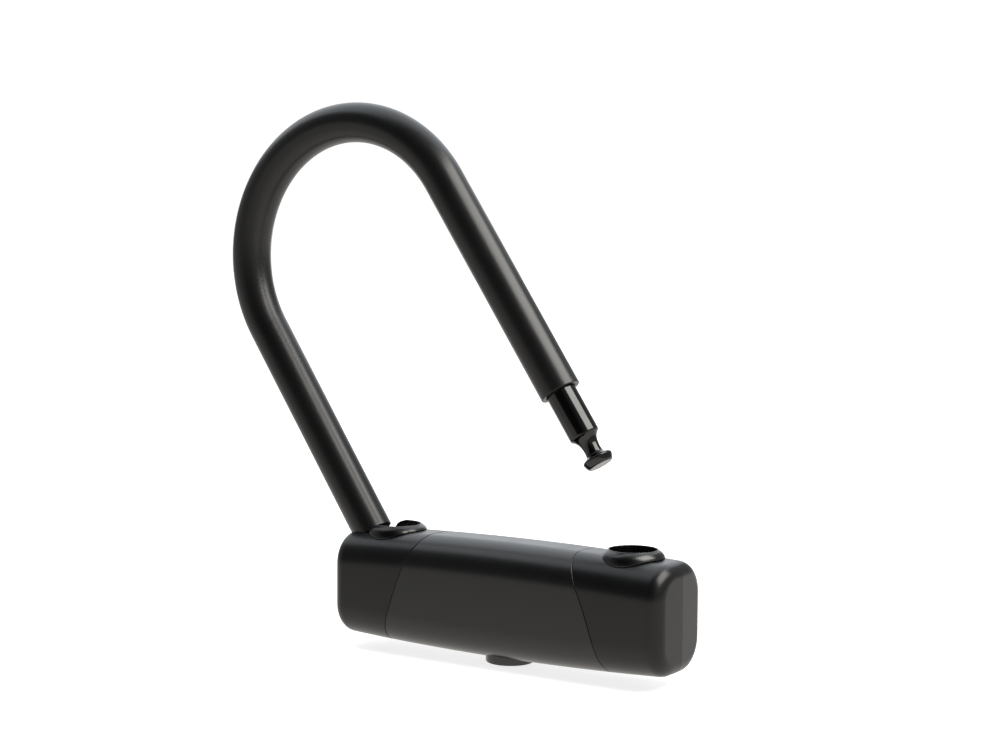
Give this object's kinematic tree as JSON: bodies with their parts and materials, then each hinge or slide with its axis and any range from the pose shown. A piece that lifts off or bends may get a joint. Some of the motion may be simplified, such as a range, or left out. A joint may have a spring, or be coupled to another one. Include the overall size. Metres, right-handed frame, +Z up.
{
  "type": "u lock",
  "caption": "Hinged U lock: a sleeved steel shackle swings out of a covered crossbar that has two collared bores and a keyed deadbolt.",
  "frame": {"origin": "centre of the flat back face of the crossbar", "axes": "+X along the crossbar from the hinged foot towards the locking foot, +Y out of the back face, +Z up along the bores"},
  "size_m": [0.2343, 0.038, 0.2392],
  "materials": {
    "cover_plastic": "satin moulded black plastic with a fine grain",
    "shackle_vinyl": "smooth satin black vinyl sleeve",
    "shackle_steel": "dark polished hardened steel",
    "collar_steel": "glossy black-nickel plated steel",
    "inner_steel": "plain zinc-flashed steel",
    "zinc_casting": "fine-cast zinc alloy",
    "cylinder_brass": "turned brass"
  },
  "bodies": {
    "crossbar": {"centre_cover": "cover_plastic", "left_end_cap": "cover_plastic", "right_end_cap": "cover_plastic", "left_collar": "collar_steel", "right_collar": "collar_steel", "bezel_ring": "collar_steel", "crossbar_tube": "inner_steel", "hinge_pin": "inner_steel", "left_block_pin": "inner_steel", "right_block_pin": "inner_steel", "cylinder_pin": "inner_steel", "left_cap_screw": "inner_steel", "right_cap_screw": "inner_steel", "left_end_block": "zinc_casting", "right_end_block": "zinc_casting", "lock_chassis": "zinc_casting", "cylinder_body": "cylinder_brass"},
    "shackle": {"shackle_bar": "shackle_steel", "shackle_sleeve": "shackle_vinyl"},
    "lock_core": {"key_plug": "cylinder_brass", "anti_drill_disc": "inner_steel", "sidebar": "inner_steel", "drive_cam": "zinc_casting", "code_disc_1": "inner_steel", "code_disc_2": "inner_steel", "code_disc_3": "inner_steel", "code_disc_4": "inner_steel", "code_disc_5": "inner_steel", "code_disc_6": "inner_steel"},
    "bolt": {"deadbolt": "inner_steel"},
    "shutter": {"dust_shutter": "collar_steel"}
  },
  "joints": [
    {"name": "shackle_swing", "type": "hinge", "parent": "crossbar", "child": "shackle", "pos_m": [-0.059, -0.019, 0.0008], "axis": [0, 1, 0], "range_deg": [0, 34.1]},
    {"name": "key_turn", "type": "hinge", "parent": "crossbar", "child": "lock_core", "pos_m": [0, -0.019, -0.015], "axis": [0, 0, -1], "range_deg": [0, 90]},
    {"name": "bolt_slide", "type": "slide", "parent": "crossbar", "child": "bolt", "axis": [1, 0, 0], "range_m": [0, 0.009]},
    {"name": "shutter_turn", "type": "hinge", "parent": "crossbar", "child": "shutter", "pos_m": [0, -0.019, -0.027], "axis": [0, 0, 1], "range_deg": [0, 90]}
  ],
  "couplings": [
    {"joint": "key_turn", "follows": "bolt_slide", "rad_per_m": 174.53}
  ]
}
